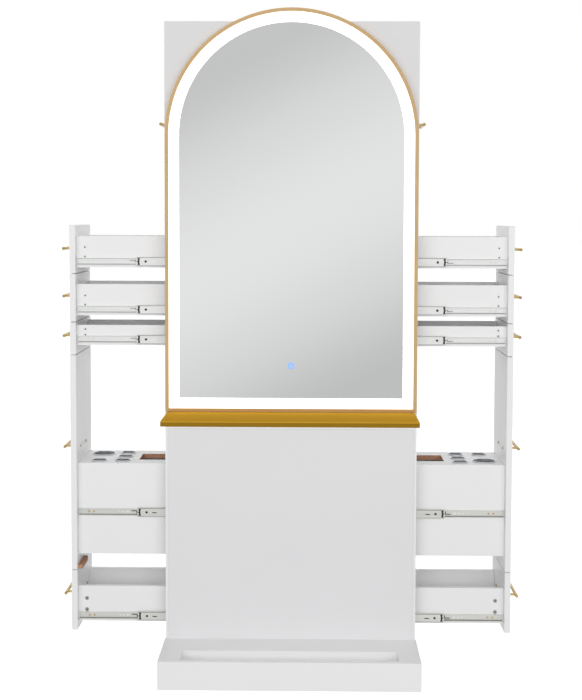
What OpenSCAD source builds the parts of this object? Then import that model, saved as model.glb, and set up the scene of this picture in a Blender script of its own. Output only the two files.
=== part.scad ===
// Salon styling station: an arched mirror over a shelf and a footrest, with drawers and cabinets
// that open to both sides.
// Frame: X to the right, Y from the front to the back, Z up. The origin is under the middle of the footprint.
// The drawers are drawn pulled out by pull_out, and the two upper doors are drawn shut.

/* [Body] */
// Width of the front board, which is also the width of the closed station
board_w = 760; // [740:10:800]
// Height of the front board
board_h = 1948; // [1940:1:1960]
// Thickness of the front board, the drawer fronts and the doors
board_t = 18; // [16:1:19]
// Thickness of the carcass panels and the drawer walls
panel_t = 15; // [12:1:16]
// Depth from the front face of the front board to the back of the carcass
carcass_d = 290; // [280:2:320]
// Thickness of the facing panel under the shelf
apron_t = 5; // [3:1:6]

/* [Footrest plinth] */
// Width of the plinth
plinth_w = 764; // [740:2:780]
// How far the plinth stands out in front of the front board
plinth_d = 210; // [200:5:240]
// Height of the plinth
plinth_h = 84; // [80:1:100]
// Width of the tray in the plinth's top
tray_w = 636; // [560:4:640]
// Distance from the front board to the tray
tray_back = 112; // [100:1:130]
// Depth of the tray
tray_depth = 45; // [35:1:50]

/* [Styling shelf] */
// Width of the shelf
shelf_w = 742; // [700:1:755]
// How far the shelf stands out in front of the front board
shelf_d = 210; // [180:5:210]
// Thickness of the shelf
shelf_t = 14.6; // [12:0.2:18]
// Height of the shelf's top face
shelf_top = 783; // [770:1:800]

/* [Mirror] */
// Width over the mirror frame
mirror_w = 754; // [700:1:758]
// Height of the top of the mirror frame above the floor
mirror_top = 1985; // [1960:1:2000]
// Depth of the mirror frame
mirror_t = 26; // [22:1:32]
// Width of the frame's front edge
frame_w = 11; // [8:1:14]
// Width of the lit band between the frame and the glass
band_w = 31; // [24:1:40]
// Thickness of the glass
glass_t = 5; // [4:0.5:6]
// Diameter of the touch switch
touch_d = 21; // [16:1:26]
// Height of the touch switch above the floor
touch_z = 923; // [880:1:1000]

/* [Drawers] */
// How far the drawers are drawn pulled out of the carcass
pull_out = 292; // [200:1:300]
// Length of the drawer boxes behind their fronts
box_l = 342; // [330:1:344]
// Length of the cabinet members of the slides
rail_l = 350; // [345:1:350]
// Thickness of a closed slide
slide_t = 12.7; // [12.7:0.1:13.2]
// Gap between neighbouring fronts
front_gap = 2; // [1.5:0.5:3]
// Gap between the front board and the fronts behind it
shadow_gap = 6; // [6:0.5:8]

/* [Handles] */
// Diameter of the handle's bar
bar_d = 10; // [8:0.5:12]
// Overall length of the handle's bar
bar_l = 136; // [128:2:160]
// Distance between the handle's screws
bar_cc = 96; // [64:32:96]
// How far the handle stands out from the front
bar_out = 32; // [28:1:36]

/* [Tool rings] */
// Bore of the large ring
big_bore_d = 68; // [60:1:70]
// Bore of the small rings
small_bore_d = 43; // [38:1:44]
// Width of the rim on top of the tool panel, from the bore outwards
big_rim_w = 4; // [3.5:0.5:5]
// Width of a small ring's rim
small_rim_w = 3.5; // [3.5:0.5:5]

/* [Hidden] */
$fn = 64;

SIDES = ["left", "right"];
DRAWERS = ["bottom", "tool", "third", "second", "top"];
DRAWER_PIECES = ["drawer", "handle", "runners", "slide_middles"];
FIXED = ["front_board", "apron_panel", "carcass", "back_panel", "adjustable_shelves", "plinth",
         "styling_shelf", "mirror_frame", "mirror_glass", "led_light_band", "touch_switch",
         "cabinet_rails", "door_hinges", "power_supply"];
SIDE_EXTRAS = ["tool_rings", "door", "door_fittings"];

// Heights, from the bottom drawer to the top one
seam_z = [98, 286, 948, 1048, 1195, 1343];
box_z = [[121, 231], [331, 613], [976, 1038], [1067, 1163], [1213, 1309]];
slide_z = [140, 463, 995, 1086, 1232];
handle_z = [199, 658, 1002, 1124, 1270];
door_handle_z = 1654;
tool = 1;

// Depths: the whole station is centred on Y = 0
back_y = (carcass_d + plinth_d) / 2;
face_y = back_y - carcass_d;
board_back_y = face_y + board_t;
inner_y = board_back_y + panel_t;
back_in_y = back_y - panel_t;
box_y0 = inner_y + slide_t;
box_y1 = back_in_y - slide_t;
box_mid_y = (box_y0 + box_y1) / 2;
fronts_y0 = board_back_y + shadow_gap;
fronts_y1 = back_y - 1;

// Apron panel: how far it stops short of the board's sides and of the shelf
apron_inset = 9;
apron_top_gap = 40;

// Mirror layers, from the front: glass and band share one plane
glass_recess = 3;
glass_y = face_y - mirror_t + glass_recess;

// Widths
half_w = board_w / 2;
shut_x = half_w - board_t;
open_x = shut_x + pull_out;
panel_half_w = shut_x - 1;
divider_half = board_t / 2;
rail_x1 = panel_half_w;
rail_x0 = rail_x1 - rail_l;
joint_gap = 0.2;
pane_inset = frame_w + joint_gap;
glass_inset = frame_w + band_w;

// Carcass heights
deck_t = board_t;
base_top = plinth_h;
carcass_top = board_h - 2;
middle_deck_z = seam_z[5] - deck_t / 2;

// Adjustable shelves and their pins
adjustable_z = [1545, 1738];
shelf_end_gap = 14;
shelf_side_gap = 2;
shelf_pin_d = 5;
shelf_pin_l = 8;
shelf_pin_gap = 0.1;
shelf_pin_x = 60;
shelf_pin_inset = 40;

// Slide sections, measured from the cabinet face: [first depth, last depth, height]
slide_wall = 1.2;
cabinet_member = [0, 9.6, 35];
middle_member = [1.9, 9.8, 27.4];
drawer_member = [4, slide_t, 20.6];
middle_l = 334;
middle_out = 108;
middle_x1 = half_w - board_t + middle_out;
runner_l = 340;
runner_setback = 2;

// Drawer bottoms
bottom_t = 9;
bottom_lift = 6;

// Upper doors and their hinges
door_z0 = seam_z[5] + front_gap / 2;
knuckle_r = 2.8;
pin_r = 1.5;
pin_clearance = 0.05;
leaf_t = 1.2;
leaf_w = 15;
hinge_h = 60;
hinge_zs = [1420, 1650, 1880];
hinge_split = 10;
hinge_gap = 0.3;
outer_knuckles = [[-hinge_h / 2, -hinge_split - hinge_gap], [hinge_split + hinge_gap, hinge_h / 2]];
inner_knuckles = [[-hinge_split, hinge_split]];
pin_x = half_w - knuckle_r;
pin_y = (board_back_y + fronts_y0) / 2;

// Handle details
post_d = 8;
screw_d = 4;
screw_hole_d = 4.6;
screw_head_d = 8;
screw_head_h = 2.2;
drawer_handle_y = face_y + 140;
door_handle_y = face_y + 206;

// Tool panel: [distance behind the front's inner face, offset across, is it the large ring]
ring_table = [[56, 48, true], [59, -64, false], [132, -64, false], [132, 0, false], [132, 64, false]];
bin_u = [180, 305];
bin_w = 100;
ring_wall = 1.5;
ring_fit = 0.3;
rim_h = 3;
ring_drop = 26;
tool_panel_t = 15;

// Wall fixing and mains inlet
fixing_z = 1890;
fixing_x = 300;
fixing_d = 8.5;
inlet_x = -200;
inlet_z = 45;
inlet_size = [28, 24, 20];
inlet_mouth = [22, 16, 14];
driver_size = [160, 60, 30];
driver_at = [-300, 100];

// A block from its low and high corners
module block(lo, hi) {
    translate(lo)
        cube(hi - lo);
}

// Draws on the right as it stands, or mirrored on the left
module on_side(s) {
    mirror([s == "left" ? 1 : 0, 0, 0])
        children();
}

// ---- Fixed boards ----

module front_board() {
    color("gainsboro")
        block([-half_w, face_y, 0], [half_w, board_back_y, board_h]);
}

module apron_panel() {
    top = shelf_top - shelf_t - apron_top_gap;
    color("gainsboro")
        block([apron_inset - half_w, face_y - apron_t, plinth_h], [half_w - apron_inset, face_y, top]);
}

module decks() {
    y0 = inner_y + joint_gap;
    y1 = back_in_y - joint_gap;
    for (m = [0, 1])
        mirror([m, 0, 0]) {
            block([divider_half + joint_gap, y0, base_top], [panel_half_w, y1, base_top + deck_t]);
            block([divider_half + joint_gap, y0, middle_deck_z], [panel_half_w, y1, middle_deck_z + deck_t]);
            block([panel_half_w - deck_t, y0, 0], [panel_half_w, y1, base_top - joint_gap]);
        }
    block([-panel_half_w, y0, carcass_top - deck_t], [panel_half_w, y1, carcass_top]);
}

module carcass() {
    color("white") {
        block([-panel_half_w, board_back_y, 0], [panel_half_w, inner_y, carcass_top]);
        block([-divider_half, inner_y + joint_gap, base_top],
              [divider_half, back_in_y - joint_gap, carcass_top - deck_t - joint_gap]);
        decks();
    }
}

module back_panel() {
    color("white")
        difference() {
            block([-panel_half_w, back_in_y, 0], [panel_half_w, back_y, carcass_top]);
            for (x = [-fixing_x, fixing_x])
                translate([x, back_in_y - 1, fixing_z])
                    rotate([-90, 0, 0])
                        cylinder(d = fixing_d, h = panel_t + 2);
            translate([inlet_x, back_y, inlet_z])
                cube([inlet_size.x + joint_gap, 3 * panel_t, inlet_size.z + joint_gap], center = true);
        }
}

// Two loose shelves in each upper cabinet, each resting on four pins
module adjustable_shelves() {
    shelf_x1 = panel_half_w - shelf_end_gap;
    color("white")
        for (m = [0, 1])
            mirror([m, 0, 0])
                for (z = adjustable_z) {
                    block([divider_half + 1, inner_y + shelf_side_gap, z],
                          [shelf_x1, back_in_y - shelf_side_gap, z + panel_t]);
                    for (x = [shelf_pin_x, shelf_x1 - shelf_pin_inset])
                        for (y = [inner_y + shelf_pin_gap, back_in_y - shelf_pin_l - shelf_pin_gap])
                            translate([x, y, z - shelf_pin_d / 2 - shelf_pin_gap])
                                rotate([-90, 0, 0])
                                    cylinder(d = shelf_pin_d, h = shelf_pin_l);
                }
}

// ---- Footrest plinth ----

module plinth() {
    front_y = face_y - plinth_d;
    w = plinth_w / 2;
    tray_y0 = front_y + board_t;
    tray_y1 = face_y - tray_back;
    floor_z = plinth_h - tray_depth;
    tray_x = tray_w / 2;
    color("white") {
        block([-w, front_y, 0], [w, tray_y0 - joint_gap, plinth_h]);
        block([-w, tray_y1, plinth_h - board_t], [w, face_y - joint_gap, plinth_h]);
        block([-tray_x - panel_t, tray_y0, floor_z - panel_t], [tray_x + panel_t, tray_y1, floor_z]);
        block([-tray_x - panel_t, tray_y1 + joint_gap, 0],
              [tray_x + panel_t, tray_y1 + panel_t, plinth_h - board_t - joint_gap]);
        for (m = [0, 1])
            mirror([m, 0, 0]) {
                block([tray_x, tray_y0, plinth_h - board_t], [w, tray_y1 - joint_gap, plinth_h]);
                block([tray_x, tray_y0, floor_z + joint_gap],
                      [tray_x + panel_t, tray_y1, plinth_h - board_t - joint_gap]);
                block([w - board_t, tray_y0, 0], [w, face_y - joint_gap, plinth_h - board_t - joint_gap]);
            }
    }
}

// ---- Shelf ----

module styling_shelf() {
    edge = 2.5;
    y0 = face_y - shelf_d;
    z0 = shelf_top - shelf_t;
    color("goldenrod")
        translate([-shelf_w / 2, 0, 0])
            rotate([90, 0, 90])
                linear_extrude(shelf_w)
                    polygon([[y0, z0], [face_y, z0], [face_y, shelf_top], [y0 + edge, shelf_top],
                             [y0, shelf_top - edge]]);
}

// ---- Mirror ----

// The arch, inset by a distance all round
module arch(inset) {
    r = mirror_w / 2 - inset;
    z_mid = mirror_top - mirror_w / 2;
    z_low = shelf_top + inset;
    translate([0, z_mid])
        circle(r);
    translate([-r, z_low])
        square([2 * r, z_mid - z_low]);
}

// A ring between two insets, from y0 to y1
module arch_ring(outer, inner, y0, y1) {
    translate([0, y1, 0])
        rotate([90, 0, 0])
            linear_extrude(y1 - y0)
                difference() {
                    arch(outer);
                    arch(inner);
                }
}

module mirror_frame() {
    flange_w = 20;
    flange_t = 2;
    color("tan") {
        arch_ring(0, frame_w, face_y - mirror_t, face_y);
        arch_ring(frame_w - 1, frame_w + flange_w, face_y - flange_t, face_y);
    }
}

module mirror_glass() {
    color("silver")
        translate([0, glass_y + glass_t, 0])
            rotate([90, 0, 0])
                linear_extrude(glass_t)
                    arch(glass_inset + joint_gap);
}

module led_light_band() {
    strip_t = 2;
    strip_w = 8;
    strip_y = glass_y + glass_t + 3;
    color("white") {
        arch_ring(pane_inset, glass_inset, glass_y, glass_y + glass_t);
        arch_ring(pane_inset, pane_inset + strip_t, strip_y, strip_y + strip_w);
    }
}

module touch_switch() {
    height = 1;
    ring_w = 1.6;
    color("deepskyblue")
        translate([0, glass_y, touch_z])
            rotate([90, 0, 0]) {
                difference() {
                    cylinder(d = touch_d, h = height);
                    translate([0, 0, height / 2])
                        cylinder(d = touch_d - 2 * ring_w, h = height);
                }
                cylinder(d = touch_d / 3, h = height);
            }
}

// ---- Slides ----

// A channel section along X; its web is at depth web, and the two flanges reach to depth lip
module channel(x0, x1, web, lip, height) {
    step = lip > web ? slide_wall : -slide_wall;
    h = height / 2;
    outline = [[web, -h], [lip, -h], [lip, slide_wall - h], [web + step, slide_wall - h],
               [web + step, h - slide_wall], [lip, h - slide_wall], [lip, h], [web, h]];
    translate([x0, 0, 0])
        rotate([90, 0, 90])
            linear_extrude(x1 - x0)
                polygon(outline);
}

// One member at the front slide and one at the back slide, from depths measured off the cabinet face
module slide_pair(x0, x1, web, lip, height) {
    translate([0, inner_y, 0])
        channel(x0, x1, web, lip, height);
    translate([0, back_in_y, 0])
        mirror([0, 1, 0])
            channel(x0, x1, web, lip, height);
}

module cabinet_rails() {
    color("lightgray")
        for (s = SIDES)
            on_side(s)
                for (z = slide_z)
                    translate([0, 0, z])
                        slide_pair(rail_x0, rail_x1, cabinet_member[0], cabinet_member[1], cabinet_member[2]);
}

module slide_middles(i) {
    color("silver")
        translate([0, 0, slide_z[i]])
            slide_pair(middle_x1 - middle_l, middle_x1, middle_member[0], middle_member[1], middle_member[2]);
}

module runners(i) {
    x1 = open_x - runner_setback;
    color("silver")
        translate([0, 0, slide_z[i]])
            slide_pair(x1 - runner_l, x1, drawer_member[1], drawer_member[0], drawer_member[2]);
}

// ---- Handles ----

// Stands on a face at x = 0 and points to +X, with its screws through a board of thickness board_t
module handle() {
    bar_x = bar_out - bar_d / 2;
    color("goldenrod") {
        translate([bar_x, 0, 0])
            rotate([90, 0, 0])
                cylinder(d = bar_d, h = bar_l, center = true);
        for (y = [-bar_cc / 2, bar_cc / 2])
            translate([0, y, 0])
                rotate([0, 90, 0])
                    cylinder(d = post_d, h = bar_x);
    }
    color("lightgray")
        for (y = [-bar_cc / 2, bar_cc / 2])
            translate([-board_t, y, 0])
                rotate([0, 90, 0]) {
                    cylinder(d = screw_d, h = board_t - joint_gap);
                    translate([0, 0, -screw_head_h])
                        cylinder(d = screw_head_d, h = screw_head_h);
                }
}

// A front or a door, with the two handle holes
module drilled_front(x0, z0, z1, hole_y, hole_z) {
    difference() {
        block([x0, fronts_y0, z0], [x0 + board_t, fronts_y1, z1]);
        for (y = [hole_y - bar_cc / 2, hole_y + bar_cc / 2])
            translate([x0 - 1, y, hole_z])
                rotate([0, 90, 0])
                    cylinder(d = screw_hole_d, h = board_t + 2);
    }
}

// ---- Drawers ----

module drawer_box(i) {
    z0 = box_z[i][0];
    z1 = box_z[i][1];
    x1 = open_x - joint_gap;
    x0 = open_x - box_l;
    in_y0 = box_y0 + panel_t + joint_gap;
    in_y1 = box_y1 - panel_t - joint_gap;
    block([x0, box_y0, z0], [x1, box_y0 + panel_t, z1]);
    block([x0, box_y1 - panel_t, z0], [x1, box_y1, z1]);
    block([x0, in_y0, z0], [x0 + panel_t, in_y1, z1]);
    block([x0 + panel_t + joint_gap, in_y0, z0 + bottom_lift],
          [x1, in_y1, z0 + bottom_lift + bottom_t]);
}

module drawer(i, s) {
    color("white") {
        drilled_front(open_x, seam_z[i] + front_gap / 2, seam_z[i + 1] - front_gap / 2,
                      drawer_handle_y, handle_z[i]);
        drawer_box(i);
        if (i == tool)
            tool_panel(s);
    }
}

// ---- Tool panel and rings ----

// The two tool drawers are the same part turned round, so the layout flips across the drawer on the left
function flip(s) = s == "left" ? 1 : -1;
function bore_r(big) = (big ? big_bore_d : small_bore_d) / 2;
function rim_w(big) = big ? big_rim_w : small_rim_w;

module tool_panel(s) {
    top = box_z[tool][1];
    wall = panel_t + joint_gap;
    difference() {
        block([open_x - box_l + wall, box_y0 + wall, top - tool_panel_t],
              [open_x - joint_gap, box_y1 - wall, top]);
        for (r = ring_table)
            translate([open_x - r[0], box_mid_y + flip(s) * r[1], top - tool_panel_t - 1])
                cylinder(r = bore_r(r[2]) + ring_wall + ring_fit, h = tool_panel_t + 2);
        block([open_x - bin_u[1], box_mid_y - bin_w / 2, top - tool_panel_t - 1],
              [open_x - bin_u[0], box_mid_y + bin_w / 2, top + 1]);
    }
}

// A flanged sleeve: the bore is straight, and the rim on top is rounded on both edges
module tool_ring(big) {
    r = bore_r(big);
    w = rim_w(big);
    edge = rim_h / 2;
    rotate_extrude() {
        translate([r, -ring_drop])
            square([ring_wall, ring_drop + edge]);
        translate([r + edge, 0])
            square([w - 2 * edge, rim_h]);
        translate([r + edge, edge])
            circle(edge);
        translate([r + w - edge, edge])
            circle(edge);
    }
}

module tool_rings(s) {
    color("silver")
        for (r = ring_table)
            translate([open_x - r[0], box_mid_y + flip(s) * r[1], box_z[tool][1]])
                tool_ring(r[2]);
}

// ---- Upper doors ----

module door() {
    color("white")
        drilled_front(shut_x, door_z0, carcass_top, door_handle_y, door_handle_z);
}

module knuckle(z0, z1) {
    translate([pin_x, pin_y, z0])
        cylinder(r = knuckle_r, h = z1 - z0);
}

// A leaf between the depths ys, with knuckles at the given heights round the pin's hole
module hinge_part(z, ys, knuckles) {
    leaf_x = pin_x - knuckle_r - hinge_gap;
    difference() {
        union() {
            block([pin_x - leaf_w, ys[0], z - hinge_h / 2], [leaf_x, ys[1], z + hinge_h / 2]);
            for (k = knuckles) {
                knuckle(z + k[0], z + k[1]);
                block([leaf_x - 1, ys[0], z + k[0]], [pin_x, ys[1], z + k[1]]);
            }
        }
        translate([pin_x, pin_y, z - hinge_h])
            cylinder(r = pin_r + pin_clearance, h = 2 * hinge_h);
    }
}

module door_hinges() {
    color("goldenrod")
        for (s = SIDES)
            on_side(s)
                for (z = hinge_zs) {
                    hinge_part(z, [board_back_y, board_back_y + leaf_t], outer_knuckles);
                    translate([pin_x, pin_y, z - hinge_h / 2])
                        cylinder(r = pin_r, h = hinge_h);
                }
}

module door_fittings() {
    translate([half_w, door_handle_y, door_handle_z])
        handle();
    color("goldenrod")
        for (z = hinge_zs)
            hinge_part(z, [fronts_y0 - leaf_t, fronts_y0], inner_knuckles);
}

// ---- Power supply ----

module power_supply() {
    color("dimgray") {
        difference() {
            translate([inlet_x, back_y - inlet_size.y / 2, inlet_z])
                cube(inlet_size, center = true);
            translate([inlet_x, back_y, inlet_z])
                cube([inlet_mouth.x, 2 * inlet_mouth.z, inlet_mouth.y], center = true);
        }
        block([driver_at.x, driver_at.y, base_top - driver_size.z],
              [driver_at.x + driver_size.x, driver_at.y + driver_size.y, base_top]);
    }
}

// ---- The parts ----

front_board();
apron_panel();
carcass();
back_panel();
adjustable_shelves();
plinth();
styling_shelf();
mirror_frame();
mirror_glass();
led_light_band();
touch_switch();
cabinet_rails();
door_hinges();
power_supply();

for (s = SIDES) {
    on_side(s) tool_rings(s);
    on_side(s) door();
    on_side(s) door_fittings();
    for (i = [0 : len(DRAWERS) - 1]) {
        name = str(s, "_", DRAWERS[i], "_");
        on_side(s) drawer(i, s);
        on_side(s) translate([open_x + board_t, drawer_handle_y, handle_z[i]]) handle();
        on_side(s) runners(i);
        on_side(s) slide_middles(i);
    }
}
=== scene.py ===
import math

import bmesh
import bpy
from mathutils import Matrix, Vector


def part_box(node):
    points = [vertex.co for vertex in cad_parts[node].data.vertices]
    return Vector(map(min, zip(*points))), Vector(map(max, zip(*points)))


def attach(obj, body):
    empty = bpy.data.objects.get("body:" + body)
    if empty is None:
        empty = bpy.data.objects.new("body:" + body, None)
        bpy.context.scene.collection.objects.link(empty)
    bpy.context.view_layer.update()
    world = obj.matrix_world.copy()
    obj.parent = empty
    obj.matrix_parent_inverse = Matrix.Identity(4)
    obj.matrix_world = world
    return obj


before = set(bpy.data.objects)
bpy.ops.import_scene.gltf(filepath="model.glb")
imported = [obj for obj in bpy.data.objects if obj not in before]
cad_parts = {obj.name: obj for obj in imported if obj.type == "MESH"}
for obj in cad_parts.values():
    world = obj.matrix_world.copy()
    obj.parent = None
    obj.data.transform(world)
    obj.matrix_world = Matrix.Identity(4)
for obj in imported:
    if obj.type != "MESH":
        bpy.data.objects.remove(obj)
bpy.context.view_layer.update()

# Looks of the salon styling station, in metres, in the frame of the CAD model:
# X to the right, Y from the front to the back, Z up, with the origin on the floor.

MM = 0.001
FULL_TURN = 2 * math.pi
SIDES = {"left": -1, "right": 1}
DRAWERS = ("bottom", "tool", "third", "second", "top")
UPPER_DRAWERS = ("third", "second", "top")

# Thickness of the boards
BOARD = 18 * MM


# ---- Camera ----

# The sensor along the view's longer side and the lens, in mm, and the lens shift in sensor lengths
SENSOR = 36
LENS = 65.7
LENS_SHIFT = -0.0867
# The eye to the right of the middle, in front of the front board and above the floor
EYE_X = 54.8 * MM
EYE_AHEAD = 3829.2 * MM
EYE_Z = 1366.3 * MM
# Radians
TURN_LEFT = 0.0145
TILT_DOWN = 0.0561
ROLL = 0.0027


def make_camera():
    """A camera level with the mirror, turned a little left and down.

    The view is framed off centre, so the lens is shifted by as much as that framing needs.
    """
    data = bpy.data.cameras.new("camera")
    data.sensor_width = SENSOR
    data.lens = LENS
    data.shift_y = LENS_SHIFT
    camera = bpy.data.objects.new("camera", data)
    turn = Matrix.Rotation(TURN_LEFT, 4, "Z")
    tilt = Matrix.Rotation(math.pi / 2 - TILT_DOWN, 4, "X")
    roll = Matrix.Rotation(ROLL, 4, "Z")
    front_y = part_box("front_board")[0].y
    place = Matrix.Translation((EYE_X, front_y - EYE_AHEAD, EYE_Z))
    camera.matrix_world = place @ turn @ tilt @ roll
    bpy.context.scene.collection.objects.link(camera)
    bpy.context.scene.camera = camera


make_camera()


# ---- Node helpers ----

def link(tree, source, target, out=0, into=0):
    """Joins an output of one node to an input of another, each by its name or number."""
    tree.links.new(source.outputs[out], target.inputs[into])


def node(tree, kind, **settings):
    """A new node, with its settings; a key with a leading in_ sets the input of that name."""
    made = tree.nodes.new(kind)
    for key, value in settings.items():
        if key.startswith("in_"):
            made.inputs[key[3:].replace("_", " ")].default_value = value
        else:
            setattr(made, key, value)
    return made


def object_coordinates(tree, stretch=(1, 1, 1)):
    """The object's own coordinates in metres; a stretch below 1 draws a texture out along that axis."""
    place = node(tree, "ShaderNodeTexCoord")
    mapping = node(tree, "ShaderNodeMapping")
    mapping.inputs["Scale"].default_value = stretch
    link(tree, place, mapping, "Object", "Vector")
    return mapping


def noise(tree, where, scale, detail=3.0):
    """A noise texture over the given coordinates."""
    made = node(tree, "ShaderNodeTexNoise", in_Scale=scale, in_Detail=detail)
    link(tree, where, made, "Vector", "Vector")
    return made


# A noise texture's values mostly lie between these
NOISE_LOW = 0.3
NOISE_HIGH = 0.7


def spread(tree, source, low, high):
    """Maps a noise's middle range to low..high."""
    made = node(tree, "ShaderNodeMapRange")
    made.inputs["From Min"].default_value = NOISE_LOW
    made.inputs["From Max"].default_value = NOISE_HIGH
    made.inputs["To Min"].default_value = low
    made.inputs["To Max"].default_value = high
    link(tree, source, made, "Fac", "Value")
    return made


def tones(tree, source, dark, light):
    """A colour that runs from dark to light with a noise."""
    made = node(tree, "ShaderNodeValToRGB")
    for element, position, colour in zip(made.color_ramp.elements, (NOISE_LOW, NOISE_HIGH), (dark, light)):
        element.position = position
        element.color = (*colour, 1)
    link(tree, source, made, "Fac", "Fac")
    return made


def colour_socket(sockets, name):
    """The colour socket of that name; a Mix node has one socket of each name per data type."""
    return next(s for s in sockets if s.name == name and s.type == "RGBA")


def shaded(colour, share):
    """A colour with each part multiplied by share."""
    return tuple(c * share for c in colour)


def surface(name, colour, roughness, metallic=0.0, variation=0.03, stretch=(1, 1, 1),
            tone_scale=4.0, grain_scale=900.0, bump=0.05, bump_depth=0.05 * MM, **shader):
    """A Principled surface whose tone, roughness and relief come from object-space noise."""
    made = bpy.data.materials.new(name)
    made.use_nodes = True
    tree = made.node_tree
    principled = tree.nodes["Principled BSDF"]
    where = object_coordinates(tree, stretch)
    broad = noise(tree, where, tone_scale)
    fine = noise(tree, where, grain_scale, 2.0)
    colours = tones(tree, broad, shaded(colour, 1 - variation), shaded(colour, 1 + variation))
    link(tree, colours, principled, "Color", "Base Color")
    rough = spread(tree, fine, *roughness)
    link(tree, rough, principled, "Result", "Roughness")
    relief = node(tree, "ShaderNodeBump", in_Strength=bump, in_Distance=bump_depth)
    link(tree, fine, relief, "Fac", "Height")
    link(tree, relief, principled, "Normal", "Normal")
    principled.inputs["Metallic"].default_value = metallic
    for key, value in shader.items():
        principled.inputs[key.replace("_", " ")].default_value = value
    return made


def glowing(name, colour, strength, ripple):
    """A frosted surface that is lit from behind."""
    made = surface(name, colour, (0.4, 0.5), variation=0.01, tone_scale=30, grain_scale=1500)
    tree = made.node_tree
    principled = tree.nodes["Principled BSDF"]
    cloud = noise(tree, object_coordinates(tree), 25.0)
    glow = tones(tree, cloud, shaded(colour, 1 - ripple), colour)
    link(tree, glow, principled, "Color", "Emission Color")
    principled.inputs["Emission Strength"].default_value = strength
    return made


def graded(made, axis, start, end, tint):
    """Multiplies a surface's colour by tint, from start to end along an axis of the object."""
    tree = made.node_tree
    parts = node(tree, "ShaderNodeSeparateXYZ")
    link(tree, object_coordinates(tree), parts, "Vector", "Vector")
    share = node(tree, "ShaderNodeMapRange", interpolation_type="SMOOTHSTEP")
    share.inputs["From Min"].default_value = start
    share.inputs["From Max"].default_value = end
    link(tree, parts, share, axis, "Value")
    blend = node(tree, "ShaderNodeMix", data_type="RGBA", blend_type="MULTIPLY")
    colour_socket(blend.inputs, "B").default_value = (*tint, 1)
    base = tree.nodes["Principled BSDF"].inputs["Base Color"]
    tone = base.links[0].from_socket
    link(tree, share, blend, "Result", "Factor")
    tree.links.new(tone, colour_socket(blend.inputs, "A"))
    tree.links.new(colour_socket(blend.outputs, "Result"), base)
    return made


# ---- Materials ----

# Texture stretches for a grain along X and along Y
ALONG_X = (0.02, 1, 1)
ALONG_Y = (1, 0.02, 1)

WHITE = surface("white_laminate", (0.88, 0.88, 0.885), (0.34, 0.44), variation=0.006,
                Coat_Weight=0.12, Coat_Roughness=0.25)
FACING = surface("grey_white_laminate", (0.79, 0.79, 0.80), (0.36, 0.46), variation=0.005,
                 Coat_Weight=0.12, Coat_Roughness=0.25)
# Painted shade: the front board's colour is made a little darker towards its top, for the weaker light there
BOARD_FACE = graded(surface("board_face", (0.86, 0.86, 0.865), (0.36, 0.46), variation=0.005,
                            Coat_Weight=0.12, Coat_Roughness=0.25),
                    "Z", 0.7, 1.8, (0.86, 0.86, 0.87))
# Painted shade: the shelf's colour is darker on its front edge than on its top
SHELF_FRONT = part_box("styling_shelf")[0].y
GOLD_SHELF = graded(surface("gold_laminate", (0.66, 0.36, 0.035), (0.42, 0.55), variation=0.05,
                            stretch=ALONG_X, tone_scale=60, grain_scale=700, bump=0.12,
                            Specular_IOR_Level=0.0),
                    "Y", SHELF_FRONT + 0.6 * MM, SHELF_FRONT + 0.2 * MM, (0.46, 0.48, 0.45))
FRAME_GOLD = surface("frame_gold", (0.72, 0.50, 0.26), (0.28, 0.38), metallic=0.8, variation=0.03,
                     tone_scale=20, grain_scale=1200)
BRASS = surface("polished_brass", (0.62, 0.46, 0.21), (0.20, 0.32), metallic=1.0, variation=0.05,
                stretch=ALONG_Y, tone_scale=80, grain_scale=900)
ZINC = surface("bright_zinc", (0.86, 0.87, 0.86), (0.30, 0.44), metallic=0.5, variation=0.04,
               stretch=ALONG_X, tone_scale=120, grain_scale=900, bump=0.08)
ZINC_GREEN = surface("passivated_zinc", (0.74, 0.75, 0.71), (0.32, 0.46), metallic=0.7, variation=0.05,
                     stretch=ALONG_X, tone_scale=120, grain_scale=900, bump=0.08)
CHROME = surface("chrome", (0.80, 0.82, 0.84), (0.08, 0.16), metallic=0.8, variation=0.02,
                 tone_scale=40, grain_scale=1500, bump=0.02)
SCREW_STEEL = surface("screw_steel", (0.45, 0.44, 0.42), (0.28, 0.42), metallic=1.0, variation=0.1,
                      tone_scale=300, grain_scale=2500)
SCREW_BRASS = surface("screw_brass", (0.66, 0.46, 0.22), (0.28, 0.42), metallic=1.0, variation=0.1,
                      tone_scale=300, grain_scale=2500)
# Dark grey: the upper slides' release levers in their own colour, and painted shade for the dark strips
# along the slides' members
LEVER_GREY_AND_PAINTED_SHADE = surface("lever_grey_and_painted_shade", (0.12, 0.12, 0.115), (0.35, 0.5), variation=0.12, tone_scale=200,
                 grain_scale=1800)
BLACK = surface("black_plastic", (0.018, 0.018, 0.019), (0.40, 0.55), variation=0.15,
                tone_scale=60, grain_scale=2200, bump=0.1)
MDF = surface("raw_fibreboard", (0.50, 0.27, 0.17), (0.75, 0.92), variation=0.22,
              tone_scale=260, grain_scale=1500, bump=0.5, bump_depth=0.2 * MM)
MIRROR = surface("silvered_glass", (0.93, 0.935, 0.94), (0.0, 0.006), metallic=1.0, variation=0.002,
                 tone_scale=3, grain_scale=40, bump=0.0)
LED = glowing("led_diffuser", (1.0, 1.0, 1.0), 1.15, 0.02)
TOUCH = glowing("touch_blue", (0.18, 0.34, 0.75), 0.8, 0.1)

NODE_MATERIALS = {
    "front_board": BOARD_FACE, "apron_panel": FACING, "carcass": WHITE, "back_panel": WHITE,
    "adjustable_shelves": WHITE, "plinth": WHITE, "styling_shelf": GOLD_SHELF,
    "mirror_frame": FRAME_GOLD, "mirror_glass": MIRROR, "led_light_band": LED, "touch_switch": TOUCH,
    "cabinet_rails": ZINC, "door_hinges": BRASS, "power_supply": BLACK}
PIECE_MATERIALS = {"drawer": WHITE, "handle": BRASS, "tool_rings": CHROME, "door": WHITE,
                   "door_fittings": BRASS}


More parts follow.
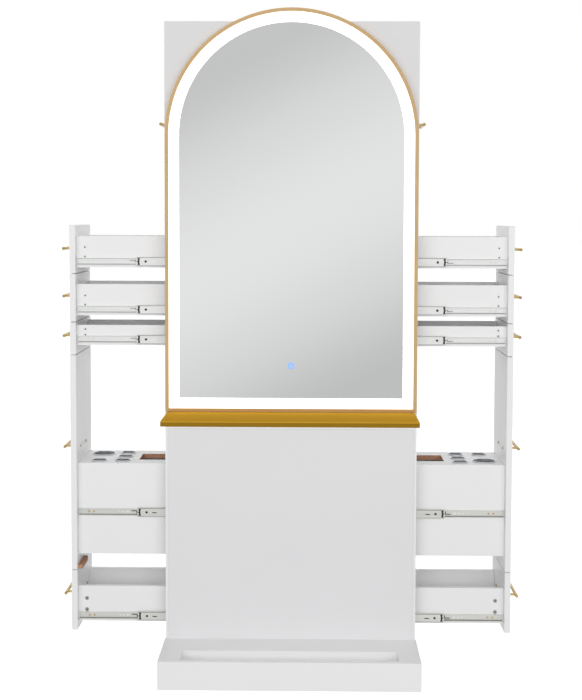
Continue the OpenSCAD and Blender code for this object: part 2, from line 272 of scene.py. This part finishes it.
def material_of(name):
    """The material of a CAD node, from its own name or from the kind of part that it ends with."""
    if name in NODE_MATERIALS:
        return NODE_MATERIALS[name]
    side, kind = name.split("_", 1)
    if kind in PIECE_MATERIALS:
        return PIECE_MATERIALS[kind]
    drawer, piece = kind.split("_", 1)
    if piece in ("runners", "slide_middles"):
        return ZINC if drawer in UPPER_DRAWERS else ZINC_GREEN
    return PIECE_MATERIALS[piece]


# ---- Edges of the CAD parts ----

SHARP_ANGLE = math.radians(30)
BEVEL_ANGLE = math.radians(40)
WELD_GAP = 0.005 * MM

# Edge roundings in mm: by node, by the kind that a node's name ends with, and for every other board
NODE_EDGES = {"styling_shelf": 0.0, "mirror_glass": 0.0, "mirror_frame": 1.0, "led_light_band": 0.0,
              "touch_switch": 0.2, "power_supply": 0.6, "door_hinges": 0.25}
KIND_EDGES = {"handle": 1.6, "door_fittings": 0.25, "runners": 0.25, "slide_middles": 0.25,
              "tool_rings": 0.0, "cabinet_rails": 0.25}
BOARD_EDGE = 0.7


def smooth_group():
    """Shades faces smooth and keeps the edges over the sharp angle sharp."""
    tree = bpy.data.node_groups.new("smooth_by_angle", "GeometryNodeTree")
    tree.interface.new_socket("Geometry", in_out="INPUT", socket_type="NodeSocketGeometry")
    tree.interface.new_socket("Geometry", in_out="OUTPUT", socket_type="NodeSocketGeometry")
    start = tree.nodes.new("NodeGroupInput")
    end = tree.nodes.new("NodeGroupOutput")
    faces = node(tree, "GeometryNodeSetShadeSmooth", domain="FACE")
    edges = node(tree, "GeometryNodeSetShadeSmooth", domain="EDGE")
    edges.inputs["Shade Smooth"].default_value = False
    angle = tree.nodes.new("GeometryNodeInputMeshEdgeAngle")
    sharp = node(tree, "FunctionNodeCompare", data_type="FLOAT", operation="GREATER_THAN")
    sharp.inputs[1].default_value = SHARP_ANGLE
    link(tree, start, faces, "Geometry", "Geometry")
    link(tree, faces, edges, "Geometry", "Geometry")
    link(tree, angle, sharp, "Unsigned Angle", 0)
    link(tree, sharp, edges, "Result", "Selection")
    link(tree, edges, end, "Geometry", "Geometry")
    return tree


SMOOTH = smooth_group()


def edge_width(name):
    """The edge rounding of a CAD node, or 0 for none."""
    if name in NODE_EDGES:
        return NODE_EDGES[name] * MM
    for kind, width in KIND_EDGES.items():
        if name.endswith(kind):
            return width * MM
    return BOARD_EDGE * MM


def round_edges(obj, width):
    """A narrow two-step bevel on the sharp edges."""
    bevel = obj.modifiers.new("bevel", "BEVEL")
    bevel.width = width
    bevel.segments = 2
    bevel.limit_method = "ANGLE"
    bevel.angle_limit = BEVEL_ANGLE


def shade(obj):
    """Smooth shading that keeps sharp edges, and flat faces flat."""
    smooth = obj.modifiers.new("smooth", "NODES")
    smooth.node_group = SMOOTH
    weighted = obj.modifiers.new("weighted", "WEIGHTED_NORMAL")
    weighted.keep_sharp = True


def finish_cad_nodes():
    """Gives every CAD node its material and its edge finish."""
    for name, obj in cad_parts.items():
        obj.data.materials.clear()
        obj.data.materials.append(material_of(name))
        weld = obj.modifiers.new("weld", "WELD")
        weld.merge_threshold = WELD_GAP
        if edge_width(name):
            round_edges(obj, edge_width(name))
        shade(obj)


def lift_shelf_shadow():
    """The studio light leaves no shadow or gold glow of the shelf on the boards round it."""
    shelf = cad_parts["styling_shelf"]
    shelf.visible_shadow = False
    shelf.visible_diffuse = False


finish_cad_nodes()
lift_shelf_shadow()


# ---- Mesh helpers ----

def add_block(bm, low, high):
    """A box between two corners."""
    low, high = Vector(low), Vector(high)
    size = high - low
    place = Matrix.Translation((low + high) / 2) @ Matrix.Diagonal((*(abs(v) for v in size), 1))
    bmesh.ops.create_cube(bm, size=1, matrix=place)


def add_lathe(bm, at, axis, profile, steps=24, first=0.0):
    """Turns (radius, height) points round an axis, with the first step at the angle first.

    The profile starts and ends on the axis.
    """
    turn = Vector((0, 0, 1)).rotation_difference(Vector(axis)).to_matrix()
    rings = []
    for radius, height in profile:
        count = steps if radius > 0 else 1
        angles = [first + FULL_TURN * i / steps for i in range(count)]
        points = [Vector((radius * math.cos(a), radius * math.sin(a), height)) for a in angles]
        rings.append([bm.verts.new(Vector(at) + turn @ point) for point in points])
    for low, high in zip(rings, rings[1:]):
        for i in range(steps):
            j = (i + 1) % steps
            corners = [low[i % len(low)], low[j % len(low)], high[j % len(high)], high[i % len(high)]]
            face = list(dict.fromkeys(corners))
            if len(face) > 2:
                bm.faces.new(face)


def add_prism(bm, outline, at, across, up, depth):
    """Extrudes a closed outline, drawn with the axes across and up, by the vector depth."""
    at, across, up, depth = Vector(at), Vector(across), Vector(up), Vector(depth)
    near = [bm.verts.new(at + across * a + up * b) for a, b in outline]
    far = [bm.verts.new(v.co + depth) for v in near]
    bm.faces.new(near)
    bm.faces.new(list(reversed(far)))
    for i in range(len(near)):
        j = (i + 1) % len(near)
        bm.faces.new([near[j], near[i], far[i], far[j]])


def racetrack(length, height, steps=8):
    """An outline with round ends, centred on the origin."""
    r = height / 2
    ends = ((length / 2 - r, -math.pi / 2), (r - length / 2, math.pi / 2))
    return [(x + r * math.cos(start + math.pi * i / steps), r * math.sin(start + math.pi * i / steps))
            for x, start in ends for i in range(steps + 1)]


def piece(name, bm, body, material, slot=None, edge=0.0):
    """A finished object from a bmesh, riding on a body; edge is its edge rounding in metres."""
    bmesh.ops.recalc_face_normals(bm, faces=bm.faces)
    mesh = bpy.data.meshes.new(name)
    bm.to_mesh(mesh)
    bm.free()
    mesh.materials.append(material)
    made = bpy.data.objects.new(name, mesh)
    bpy.context.scene.collection.objects.link(made)
    if edge:
        round_edges(made, edge)
    shade(made)
    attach(made, body)
    return made


# ---- Turned heads, as profiles of (radius, height) points ----

def screw_head(radius, height):
    """The profile of a pan head with a cross socket."""
    return [(0, height * 0.3), (radius * 0.34, height * 0.92), (radius * 0.62, height),
            (radius * 0.9, height * 0.7), (radius, 0), (0, 0)]


def cam_head(radius, height):
    """The profile of a cam fitting, a raised rim round a deep socket."""
    return [(0, height * 0.15), (radius * 0.3, height * 0.2), (radius * 0.38, height * 0.85),
            (radius * 0.85, height), (radius, height * 0.6), (radius, 0), (0, 0)]


def disc(radius, height):
    """The profile of a plain disc."""
    return [(0, height), (radius, height), (radius, 0), (0, 0)]


def ball(radius, rings=6):
    """The profile of a ball round the origin."""
    turns = [math.pi * i / rings for i in range(1, rings)]
    return [(0, -radius), *((radius * math.sin(a), -radius * math.cos(a)) for a in turns), (0, radius)]


# ---- Slides ----

# Sheet thickness of the slides' members, and how far a drawer member stands off its wall
SHEET = 1.2 * MM
RUNNER_DEPTH = 8.7 * MM

# Along a slide, in mm behind the front's inner face; each punched hole has its place and length
RUNNER_SCREWS = (34, 49)
WEB_HOLES = ((128, 5), (139, 6), (152, 9))
WEB_HOLE_HEIGHT = 5
LEVER = (164, 180)
RETAINER = (187, 194.5)
HOLE_SHADE_BEHIND = 212
CATCH_BEHIND = 236

# Half the height of the drawer member and of the middle member, in mm
MEMBER_HALF = 10.3
MIDDLE_HALF = 13.7

# The bearing balls, in mm: their row above the slide's middle, their depth under the middle
# member's face, the first one's place from that member's end, and their pitch
BALL_RADIUS = 1.0
BALL_ROW = 11.4
BALL_DEPTH = 5.2
BALL_START = 12
BALL_PITCH = 9
BALLS = 9

# The cam fittings behind the front's inner face and above the slide's middle, in mm
CAM_BEHIND = 25.6
CAM_RADIUS = 6.2
CAM_HEIGHTS = {"bottom": (17, 52), "third": (13, 30), "second": (14, 42), "top": (15, 43)}


class Slide:
    """Where one drawer's slides and walls are, read off its CAD nodes."""

    def __init__(self, side, drawer):
        self.name = f"{side}_{drawer}"
        self.s = SIDES[side]
        self.body = f"{self.name}_drawer"
        self.middles = f"{self.name}_middles"
        low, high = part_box(f"{self.name}_runners")
        self.z = (low.z + high.z) / 2
        self.walls = ((low.y + RUNNER_DEPTH, -1), (high.y - RUNNER_DEPTH, 1))
        middle_low, middle_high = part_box(f"{self.name}_slide_middles")
        self.middle_faces = ((middle_low.y, -1), (middle_high.y, 1))
        self.middle_end = max(abs(middle_low.x), abs(middle_high.x))
        front_low, front_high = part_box(f"{self.name}_drawer")
        self.inner = max(abs(front_low.x), abs(front_high.x)) - BOARD
        self.closed_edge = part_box("front_board")[1].x
        self.green = drawer not in UPPER_DRAWERS

    def x(self, behind):
        """The X that lies behind the front's inner face by a distance in mm."""
        return self.s * (self.inner - behind * MM)

    def webs(self):
        """The (Y, way out) of the sheet face of each drawer member, one on each wall."""
        return [(wall_y + out * SHEET, out) for wall_y, out in self.walls]


def slide_screws(slide):
    """Two pan head screws through each drawer member."""
    bm = bmesh.new()
    for face, out in slide.webs():
        for behind in RUNNER_SCREWS:
            add_lathe(bm, (slide.x(behind), face, slide.z), (0, out, 0), screw_head(3.0 * MM, 1.5 * MM))
    piece(f"{slide.name}_slide_screws", bm, slide.body, SCREW_BRASS if slide.green else ZINC,
          "slide_steel")


def web_holes(slide):
    """The punched holes of the drawer member, through which the white wall shows."""
    bm = bmesh.new()
    for face, out in slide.webs():
        for behind, length in WEB_HOLES:
            add_prism(bm, racetrack(length * MM, WEB_HOLE_HEIGHT * MM), (slide.x(behind), face, slide.z),
                      (1, 0, 0), (0, 0, 1), (0, out * 0.15 * MM, 0))
    piece(f"{slide.name}_punched_holes", bm, slide.body, WHITE, "white_board")


def race_shade_lines(slide):
    """Painted shade: a dark strip along each ball race, just inside the drawer member's two edges, wider at
    the bottom edge.
    """
    bm = bmesh.new()
    for face, out in slide.webs():
        for row, width in ((-1, 1.5), (1, 0.9)):
            inner = slide.z + row * (MEMBER_HALF - SHEET / MM - width) * MM
            outer = slide.z + row * (MEMBER_HALF - SHEET / MM) * MM
            add_block(bm, (slide.x(4), face, min(inner, outer)),
                      (slide.x(LEVER[1] + 4), face + out * 0.3 * MM, max(inner, outer)))
    piece(f"{slide.name}_race_shade_lines", bm, slide.body, LEVER_GREY_AND_PAINTED_SHADE)


def release_lever(slide):
    """A thin arm along the drawer member with a leg at its inner end, and turned over on the right."""
    bm = bmesh.new()
    start, end = LEVER
    long, top = (end - start) * MM, 3.4 * MM
    arm, leg = (1.7 * MM, 9.5 * MM) if slide.green else (1.2 * MM, 5 * MM)
    outline = [(0, top), (long, top), (long + 1.8 * MM, 2 * MM), (long + 1.8 * MM, top - leg),
               (long, top - leg), (long - 0.4 * MM, top - arm), (0, top - arm)]
    for face, out in slide.webs():
        add_prism(bm, outline, (slide.x(start), face, slide.z), (-slide.s, 0, 0), (0, 0, -slide.s),
                  (0, out * 2.2 * MM, 0))
    material = BLACK if slide.green else LEVER_GREY_AND_PAINTED_SHADE
    piece(f"{slide.name}_release_levers", bm, slide.body, material, edge=0.2 * MM)


def ball_retainer(slide):
    """The black end piece of the ball cage, an upright bar with a point towards the drawer's front."""
    bm = bmesh.new()
    width, tall = (RETAINER[1] - RETAINER[0]) * MM, 10.6 * MM
    outline = [(0, tall), (width, tall), (width * 0.8, 3 * MM), (width * 0.8, -3 * MM), (width, -tall),
               (0, -tall), (width * 0.2, -3.4 * MM), (-1.8 * MM, 0), (width * 0.2, 3.4 * MM)]
    for face, out in slide.middle_faces:
        add_prism(bm, outline, (slide.x(RETAINER[0]), face, slide.z),
                  (-slide.s, 0, 0), (0, 0, 1), (0, out * 0.5 * MM, 0))
    piece(f"{slide.name}_ball_retainers", bm, slide.middles, BLACK, edge=0.2 * MM)


def middle_marks(slide):
    """A black disc, painted shade for the dark inside the middle member's round hole, and the stamped catch
    of the middle member, the catch open on the upper slides.
    """
    hole_shades, catches = bmesh.new(), bmesh.new()
    hole_shade_profile = [(0, 0.5 * MM), (3.0 * MM, 0.5 * MM), (3.7 * MM, 0.1 * MM), (3.7 * MM, 0), (0, 0)]
    length, height = (14, 3.0) if slide.green else (20, 8.0)
    for face, out in slide.middle_faces:
        add_lathe(hole_shades, (slide.x(HOLE_SHADE_BEHIND), face, slide.z), (0, out, 0), hole_shade_profile)
        add_prism(catches, racetrack(length * MM, height * MM),
                  (slide.x(CATCH_BEHIND), face, slide.z - 1 * MM),
                  (1, 0, 0), (0, 0, 1), (0, out * 0.2 * MM, 0))
    piece(f"{slide.name}_middle_hole_shades", hole_shades, slide.middles, BLACK, edge=0.1 * MM)
    piece(f"{slide.name}_middle_catches", catches, slide.middles, BLACK if slide.green else WHITE)


def middle_shade_lines(slide):
    """Painted shade: a dark strip along the top and bottom of the middle member's face, wider at the top
    edge.
    """
    bm = bmesh.new()
    cabinet = slide.s * (slide.closed_edge + 2 * MM)
    flat = MIDDLE_HALF - SHEET / MM
    for face, out in slide.middle_faces:
        for row, width in ((-1, 0.8), (1, 1.4)):
            z0, z1 = sorted((slide.z + row * flat * MM, slide.z + row * (flat - width) * MM))
            add_block(bm, (slide.s * (slide.middle_end - 2 * MM), face, z0),
                      (cabinet, face + out * 0.2 * MM, z1))
    piece(f"{slide.name}_middle_shade_lines", bm, slide.middles, LEVER_GREY_AND_PAINTED_SHADE)


def cage_balls(slide):
    """Bearing balls in the gap between the drawer member and the middle member."""
    bm = bmesh.new()
    for face, out in slide.middle_faces:
        for row in (-1, 1):
            for i in range(BALLS):
                at = (slide.s * (slide.middle_end - (BALL_START + BALL_PITCH * i) * MM),
                      face - out * BALL_DEPTH * MM, slide.z + row * BALL_ROW * MM)
                add_lathe(bm, at, (0, 0, 1), ball(BALL_RADIUS * MM), 10, math.pi / 2)
    piece(f"{slide.name}_slide_balls", bm, slide.middles, CHROME, "slide_steel")


def drawer_cams(slide, drawer):
    """Two cam fittings in each wall, near the front; the tool drawers show none."""
    if drawer not in CAM_HEIGHTS:
        return
    rims, sockets = bmesh.new(), bmesh.new()
    for wall_y, out in slide.walls:
        for up in CAM_HEIGHTS[drawer]:
            at = (slide.x(CAM_BEHIND), wall_y, slide.z + up * MM)
            add_lathe(rims, at, (0, out, 0), cam_head(CAM_RADIUS * MM, 0.8 * MM))
            # Painted shade: a black disc fills each cam's deep socket, for the dark inside it
            add_lathe(sockets, at, (0, out, 0), disc(2.2 * MM, 0.5 * MM), 16)
    piece(f"{slide.name}_cam_fittings", rims, slide.body, SCREW_STEEL if slide.green else ZINC)
    piece(f"{slide.name}_cam_sockets", sockets, slide.body, BLACK)


# ---- Handles ----

# The bar's far side from the board, the bar, its posts, and the doors' handles above the floor
HANDLE_OUT = 32 * MM
BAR_LENGTH = 136 * MM
POST_SPACING = 96 * MM
DOOR_HANDLE_Z = 1654 * MM

# Each collar where a post meets the board
COLLAR = [(0, 1.6 * MM), (5.4 * MM, 1.6 * MM), (6.4 * MM, 0.8 * MM), (6.6 * MM, 0), (0, 0)]


def handle_roses(name, body, face_x, s, y, z):
    """A thin turned collar where each post of a handle meets the board."""
    bm = bmesh.new()
    for way in (-0.5, 0.5):
        add_lathe(bm, (face_x, y + way * POST_SPACING, z), (s, 0, 0), COLLAR, 32)
    piece(name, bm, body, BRASS, "brass")


def handle_collars():
    """Collars on every drawer's and door's handle."""
    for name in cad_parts:
        if not name.endswith(("_handle", "_door_fittings")):
            continue
        low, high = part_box(name)
        side = name.split("_")[0]
        s = SIDES[side]
        out = max(abs(low.x), abs(high.x))
        if name.endswith("_handle"):
            body = name.replace("_handle", "_drawer")
            y, z = (low.y + high.y) / 2, (low.z + high.z) / 2
        else:
            body = f"{side}_door"
            y, z = high.y - BAR_LENGTH / 2, DOOR_HANDLE_Z
        handle_roses(f"{name}_collars", body, s * (out - HANDLE_OUT), s, y, z)


def front_screws():
    """Plain steel heads over the handle screws, on the fronts' inner faces."""
    for side in SIDES:
        for drawer in DRAWERS:
            slide = Slide(side, drawer)
            low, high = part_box(f"{slide.name}_handle")
            y, z = (low.y + high.y) / 2, (low.z + high.z) / 2
            bm = bmesh.new()
            for way in (-0.5, 0.5):
                add_lathe(bm, (slide.x(0), y + way * POST_SPACING, z), (-slide.s, 0, 0),
                          screw_head(4.2 * MM, 2.5 * MM))
            piece(f"{slide.name}_front_screws", bm, slide.body, SCREW_STEEL)


# ---- Raw board in the tool drawers ----

# The rings' rims above the tool panel, and the bin's cut-out: mm behind the front, width and depth shown
RIM_HEIGHT = 3 * MM
BIN_BEHIND = (180, 305)
BIN_WIDTH = 100 * MM
BIN_EDGE_DEPTH = 15 * MM
BIN_SKIN = 0.5 * MM

# The cleat starts far enough from the front board to clear the carcass when the drawer is shut
CLEAT_START = 11 * MM
CLEAT_LENGTH = 110 * MM
CLEAT_WIDTH = 14 * MM
CLEAT_HEIGHT = 12 * MM


def bin_lining(side):
    """The raw board edge of the bin's cut-out in the tool drawer's top."""
    slide = Slide(side, "tool")
    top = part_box(f"{side}_tool_rings")[1].z - RIM_HEIGHT
    mid_y = (slide.walls[0][0] + slide.walls[1][0]) / 2
    x0, x1 = sorted((slide.x(BIN_BEHIND[0]), slide.x(BIN_BEHIND[1])))
    y0, y1 = mid_y - BIN_WIDTH / 2, mid_y + BIN_WIDTH / 2
    z0, z1 = top - BIN_EDGE_DEPTH, top - 0.4 * MM
    bm = bmesh.new()
    add_block(bm, (x0, y0, z0), (x1, y0 + BIN_SKIN, z1))
    add_block(bm, (x0, y1 - BIN_SKIN, z0), (x1, y1, z1))
    add_block(bm, (x0, y0 + BIN_SKIN, z0), (x0 + BIN_SKIN, y1 - BIN_SKIN, z1))
    add_block(bm, (x1 - BIN_SKIN, y0 + BIN_SKIN, z0), (x1, y1 - BIN_SKIN, z1))
    piece(f"{side}_bin_raw_edge", bm, f"{side}_tool_drawer", MDF)


def cleat():
    """The raw board cleat low on the inside of the left tool drawer's front, with a rounded end."""
    slide = Slide("left", "tool")
    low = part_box("left_tool_drawer")[0]
    steps = 8
    turns = [math.pi / 2 * i / steps for i in range(1, steps + 1)]
    outline = [(0, 0), (0, CLEAT_LENGTH)]
    outline += [(CLEAT_WIDTH * math.sin(a), CLEAT_LENGTH - CLEAT_WIDTH * (1 - math.cos(a))) for a in turns]
    outline += [(CLEAT_WIDTH, 0)]
    bm = bmesh.new()
    add_prism(bm, outline, (slide.x(0), low.y + CLEAT_START, low.z), (1, 0, 0), (0, 1, 0),
              (0, 0, CLEAT_HEIGHT))
    piece("left_tool_front_cleat", bm, slide.body, MDF, edge=0.4 * MM)


# ---- Hinges, inlet and touch switch ----

# The hinges above the floor and the screws above each hinge's middle, in mm
HINGE_HEIGHTS = (1420, 1650, 1880)
LEAF_SCREW_ROWS = (-20, 0, 20)
LEAF_SCREW_INSET = 11.5 * MM
LEAF = 1.2 * MM

# The mains inlet's middle, and its pins off that middle, in mm
INLET_X = -200
INLET_Z = 45
INLET_PINS = ((-6, -1.5), (6, -1.5), (0, 3))

# The silvered middle of the touch switch
TOUCH_CENTRE_RADIUS = 4.6 * MM


def hinge_screws():
    """Countersunk screws through the moving leaves of the upper doors' hinges."""
    for side, s in SIDES.items():
        bm = bmesh.new()
        low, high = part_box(f"{side}_door")
        x = s * (max(abs(low.x), abs(high.x)) - LEAF_SCREW_INSET)
        for z in HINGE_HEIGHTS:
            for dz in LEAF_SCREW_ROWS:
                add_lathe(bm, (x, low.y - LEAF, (z + dz) * MM), (0, -1, 0),
                          screw_head(2.4 * MM, 0.5 * MM), 16)
        piece(f"{side}_hinge_screws", bm, f"{side}_door", BRASS, "brass")


def touch_centre():
    """The silvered middle of the touch switch, which leaves a blue ring round it."""
    low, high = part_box("touch_switch")
    bm = bmesh.new()
    add_lathe(bm, (0, low.y, (low.z + high.z) / 2), (0, -1, 0), disc(TOUCH_CENTRE_RADIUS, 0.1 * MM), 32)
    piece("touch_centre", bm, "root", MIRROR)


def inlet_pins():
    """Three flat pins inside the mains inlet."""
    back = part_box("power_supply")[1].y
    bm = bmesh.new()
    for dx, dz in INLET_PINS:
        at = Vector(((INLET_X + dx) * MM, back - 12 * MM, (INLET_Z + dz) * MM))
        half = Vector((1.0 * MM, 0, 2.0 * MM))
        add_block(bm, at - half - Vector((0, 1 * MM, 0)), at + half + Vector((0, 9 * MM, 0)))
    piece("mains_inlet_pins", bm, "root", CHROME, edge=0.3 * MM)


def make_fittings():
    """All the small hardware that the CAD model leaves out."""
    for side in SIDES:
        for drawer in DRAWERS:
            slide = Slide(side, drawer)
            slide_screws(slide)
            web_holes(slide)
            race_shade_lines(slide)
            middle_shade_lines(slide)
            release_lever(slide)
            ball_retainer(slide)
            middle_marks(slide)
            cage_balls(slide)
            drawer_cams(slide, drawer)
        bin_lining(side)
    handle_collars()
    front_screws()
    cleat()
    hinge_screws()
    inlet_pins()
    touch_centre()


make_fittings()


# ---- Stage and light ----

# The middle of the station, which the lights face
AIM = (0, 0, 1.0)

# What the mirror reflects, as (slope of the view, grey) points along a ramp: a bright diagonal between two
# darker ones
MIRROR_SPAN = 0.4
MIRROR_LEAN = 0.52
MIRROR_BAND = ((-0.4, 1.0), (-0.3, 0.75), (-0.16, 0.59), (-0.10, 0.69), (-0.05, 0.78), (0.0, 0.82),
               (0.05, 0.77), (0.10, 0.67), (0.16, 0.55), (0.3, 0.7), (0.4, 1.0))


def make_floor():
    """A pale round floor that only the camera sees, so that it adds no bounce and takes no shadow."""
    bm = bmesh.new()
    bmesh.ops.create_circle(bm, cap_ends=True, segments=96, radius=60)
    mesh = bpy.data.meshes.new("floor")
    bm.to_mesh(mesh)
    bm.free()
    floor = bpy.data.objects.new("floor", mesh)
    bpy.context.scene.collection.objects.link(floor)
    floor.location = (0, 0, -0.5 * MM)
    floor.visible_glossy = False
    floor.visible_diffuse = False
    floor.visible_shadow = False
    paper = surface("floor_paper", (0.40, 0.40, 0.40), (0.7, 0.8), variation=0.004, tone_scale=1.5,
                    grain_scale=300, Emission_Color=(1, 1, 1, 1), Emission_Strength=0.9)
    mesh.materials.append(paper)


def maths(tree, operation, *values):
    """A Math node; each value is a number or a (node, output) pair."""
    made = node(tree, "ShaderNodeMath", operation=operation)
    for i, value in enumerate(values):
        if isinstance(value, tuple):
            link(tree, value[0], made, value[1], i)
        else:
            made.inputs[i].default_value = value
    return made


def mirror_view(tree):
    """What a mirror that faces the front shows: soft grey tones in diagonal bands."""
    where = node(tree, "ShaderNodeTexCoord")
    parts = node(tree, "ShaderNodeSeparateXYZ")
    link(tree, where, parts, "Generated", "Vector")
    towards = maths(tree, "MULTIPLY", (parts, "Y"), -1.0)
    ahead = maths(tree, "MAXIMUM", (towards, 0), 0.05)
    rise = maths(tree, "DIVIDE", (parts, "Z"), (ahead, 0))
    aside = maths(tree, "DIVIDE", (parts, "X"), (ahead, 0))
    tilted = maths(tree, "MULTIPLY", (aside, 0), MIRROR_LEAN)
    slope = maths(tree, "SUBTRACT", (tilted, 0), (rise, 0))
    place = node(tree, "ShaderNodeMapRange")
    place.inputs["From Min"].default_value = -MIRROR_SPAN
    place.inputs["From Max"].default_value = MIRROR_SPAN
    link(tree, slope, place, 0, "Value")
    band = node(tree, "ShaderNodeValToRGB")
    band.color_ramp.interpolation = "CARDINAL"
    elements = band.color_ramp.elements
    for i, (at, grey) in enumerate(MIRROR_BAND):
        element = elements[i] if i < 2 else elements.new(1)
        element.position = (at + MIRROR_SPAN) / (2 * MIRROR_SPAN)
        element.color = (grey, grey, grey, 1)
    link(tree, place, band, 0, "Fac")
    return band


def make_world():
    """A soft white dome; the camera sees plain white, and reflections show the diagonal bands."""
    world = bpy.data.worlds.new("studio")
    bpy.context.scene.world = world
    world.use_nodes = True
    tree = world.node_tree
    tree.nodes.clear()
    dome = node(tree, "ShaderNodeBackground", in_Strength=0.45)
    dome.inputs["Color"].default_value = (1, 1, 1, 1)
    seen = node(tree, "ShaderNodeBackground", in_Strength=1.0)
    seen.inputs["Color"].default_value = (1, 1, 1, 1)
    reflected = node(tree, "ShaderNodeBackground", in_Strength=1.0)
    link(tree, mirror_view(tree), reflected, "Color", "Color")
    path = node(tree, "ShaderNodeLightPath")
    glossy = node(tree, "ShaderNodeMixShader")
    link(tree, path, glossy, "Is Glossy Ray", 0)
    link(tree, dome, glossy, 0, 1)
    link(tree, reflected, glossy, 0, 2)
    camera = node(tree, "ShaderNodeMixShader")
    link(tree, path, camera, "Is Camera Ray", 0)
    link(tree, glossy, camera, 0, 1)
    link(tree, seen, camera, 0, 2)
    out = node(tree, "ShaderNodeOutputWorld")
    link(tree, camera, out, 0, 0)


def softbox(name, at, size, power):
    """A wide area light that faces the station, seen by neither camera nor mirror; size in m, power in W."""
    data = bpy.data.lights.new(name, "AREA")
    data.shape = "RECTANGLE"
    data.size, data.size_y = size
    data.energy = power
    lamp = bpy.data.objects.new(name, data)
    lamp.location = at
    aim = Vector(AIM) - Vector(at)
    lamp.rotation_euler = aim.to_track_quat("-Z", "Y").to_euler()
    lamp.visible_camera = False
    lamp.visible_glossy = False
    bpy.context.scene.collection.objects.link(lamp)


make_floor()
make_world()
softbox("front_bank", (0, -4.6, 1.9), (8.0, 1.8), 150)
softbox("back_bank", (0, 4.0, 2.2), (8.0, 2.0), 110)
bpy.context.scene.view_settings.view_transform = "Standard"
